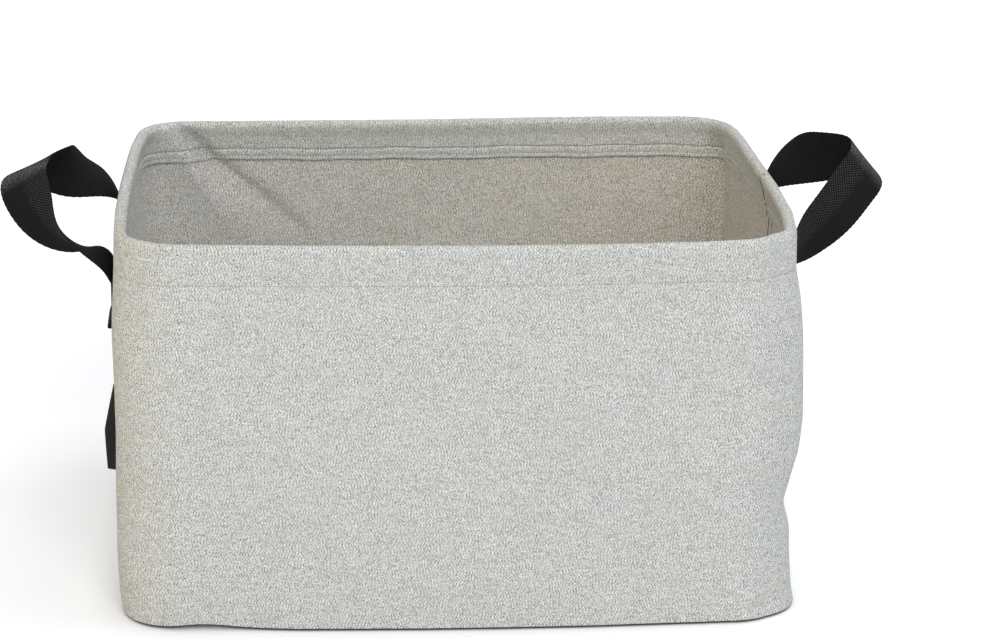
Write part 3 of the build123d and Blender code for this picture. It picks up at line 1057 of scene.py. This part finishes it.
def tabPiece():
    v, u = np.meshgrid(np.linspace(0, 1, 40), np.linspace(0, 1, 14), indexing="ij")
    z = tab["bottom"] + (tab["top"] - tab["bottom"]) * v
    slant = np.clip((z - tab["slantFrom"]) / (tab["top"] - tab["slantFrom"]), 0, 1)
    out = tab["root"] + u * (tab["reach"] - (tab["reach"] - tab["topReach"]) * slant)
    wall = clothPoint(fullRound, 0.0, z)[..., 0]
    angle = tab["turn"] * ease(0.06, 0.12, z) * u
    x = wall - out * np.cos(angle)
    y = out * np.sin(angle) + tab["wave"] * np.sin(u * 5) * v
    z = z + tab["lift"] * u * (1 - ease(0, 0.25, v))
    thick = tab["thick"] / 2 * (1 - 0.6 * ease(0.93, 1, u))
    place = np.stack([x, y, z], -1)
    side = np.stack([np.sin(angle), np.cos(angle), 0 * angle], -1) * thick[..., None]
    uv = np.stack([out, z], -1)
    piece = sheetPiece("seam_tab", place + side, place - side, labelCloth, uv, uv + [0.2, 0.1])
    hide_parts("label_tab")
    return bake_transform(piece)


def tabRoot():
    heights = np.linspace(tab["bottom"], tab["top"], 36)
    depth = np.linspace(-tab["sunk"], tab["root"] + tab["overlap"], 5)
    z, out = np.meshgrid(heights, depth, indexing="ij")
    wall = clothPoint(fullRound, 0.0, z)[..., 0]
    place = np.stack([wall - out, 0 * z, z], -1)
    thick = np.array([0, tab["thick"] * 0.5, 0])
    uv = np.stack([out, z], -1)
    piece = sheetPiece("seam_tab_root", place + thick, place - thick, labelCloth, uv, uv)
    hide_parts("label_seam_end")
    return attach(piece, "label_root")


tabPiece()
tabRoot()
print("tab ready")


# Stage: camera as the photograph was taken, white floor, soft lamps

shot = dict(place=(-0.108, -1.980, 0.788), aim=(0.0389, 0, 0.1670), roll=math.radians(0.68), lens=99.6)


def makeCamera():
    ahead = (Vector(shot["aim"]) - Vector(shot["place"])).normalized()
    flatRight = ahead.cross(Vector((0, 0, 1))).normalized()
    flatUp = flatRight.cross(ahead)
    right = math.cos(shot["roll"]) * flatRight + math.sin(shot["roll"]) * flatUp
    up = -math.sin(shot["roll"]) * flatRight + math.cos(shot["roll"]) * flatUp
    data = bpy.data.cameras.new("photoCamera")
    data.lens = shot["lens"]
    data.sensor_width = 36
    data.clip_start, data.clip_end = 0.05, 60
    camera = bpy.data.objects.new("photoCamera", data)
    turn = Matrix((right, up, -ahead)).transposed().to_4x4()
    camera.matrix_world = Matrix.Translation(shot["place"]) @ turn
    scene.collection.objects.link(camera)
    scene.camera = camera


# aim is the height over the middle of the base that a lamp points at
lamps = (
    dict(name="keyLamp", place=(0.35, -3.3, 2.4), aim=0.15, size=2.0, watts=62, colour=(1.0, 0.99, 0.98)),
    dict(name="fillLamp", place=(-2.6, -1.9, 1.7), aim=0.15, size=2.2, watts=17, colour=(1.0, 0.77, 0.48)),
    dict(name="topLamp", place=(1.1, 0.3, 3.0), aim=0.1, size=1.8, watts=24, colour=(0.97, 0.98, 1.0)),
)


def makeLamps():
    for lamp in lamps:
        data = bpy.data.lights.new(lamp["name"], "AREA")
        data.shape = "SQUARE"
        data.size = lamp["size"]
        data.energy = lamp["watts"]
        data.color = lamp["colour"]
        light = bpy.data.objects.new(lamp["name"], data)
        light.location = lamp["place"]
        facing = Vector((0, 0, lamp["aim"])) - Vector(lamp["place"])
        light.rotation_euler = facing.to_track_quat("-Z", "Y").to_euler()
        scene.collection.objects.link(light)


def seenDirectly(tree):
    # 1 where the camera looks straight at the surroundings, or by way of gloss or glass
    path = tree.nodes.new("ShaderNodeLightPath").outputs
    seen = calc(tree, "ADD", path["Is Camera Ray"], path["Is Glossy Ray"])
    seen = calc(tree, "ADD", seen, path["Is Transmission Ray"])
    return calc(tree, "MINIMUM", seen, 1.0)


surround = dict(
    light=0.50, floorColour=rgb(242, 244, 248), floorHalf=9, floorHeight=-0.0003,
    nearGlow=0.29, farGlow=0.60, nearReach=0.55, farReach=1.8, shade=0.03,
)


def makeSky():
    world = bpy.data.worlds.new("whiteRoom")
    world.use_nodes = True
    scene.world = world
    tree = world.node_tree
    sky = tree.nodes["Background"]
    sky.inputs["Color"].default_value = (1, 1, 1, 1)
    strength = calc(tree, "MULTIPLY_ADD", seenDirectly(tree), 1 - surround["light"], surround["light"])
    tree.links.new(strength, sky.inputs["Strength"])


def floorPaper():
    # matt white with a glow that is seen but lights nothing, stronger further off
    paper = bpy.data.materials.new("whiteFloor")
    paper.use_nodes = True
    tree = paper.node_tree
    tree.nodes.clear()
    matt = addNode(tree, "ShaderNodeBsdfDiffuse", {"Color": surround["floorColour"]})
    place = tree.nodes.new("ShaderNodeNewGeometry").outputs["Position"]
    away = vectorCalc(tree, "LENGTH", place).outputs["Value"]
    reaches = [surround[key] for key in ("nearReach", "farReach", "nearGlow", "farGlow")]
    nook = addNode(tree, "ShaderNodeAmbientOcclusion", {"Distance": surround["shade"]}).outputs["AO"]
    strength = calc(tree, "MULTIPLY", remap(tree, away, *reaches), nook)     # no glow where the bin stands
    strength = calc(tree, "MULTIPLY", seenDirectly(tree), strength)
    glow = addNode(tree, "ShaderNodeEmission", {"Color": (1, 1, 1, 1), "Strength": strength})
    both = addNode(tree, "ShaderNodeAddShader", {0: matt.outputs[0], 1: glow.outputs[0]})
    addNode(tree, "ShaderNodeOutputMaterial", {"Surface": both.outputs[0]})
    return paper


def makeFloor():
    size = surround["floorHalf"]
    corners = ((-size, -size), (size, -size), (size, size), (-size, size))
    mesh = bpy.data.meshes.new("floor")
    mesh.from_pydata([(x, y, surround["floorHeight"]) for x, y in corners], [], [(0, 1, 2, 3)])
    mesh.materials.append(floorPaper())
    floor = bpy.data.objects.new("floor", mesh)
    scene.collection.objects.link(floor)


makeCamera()
makeLamps()
makeSky()
makeFloor()
print("stage ready")
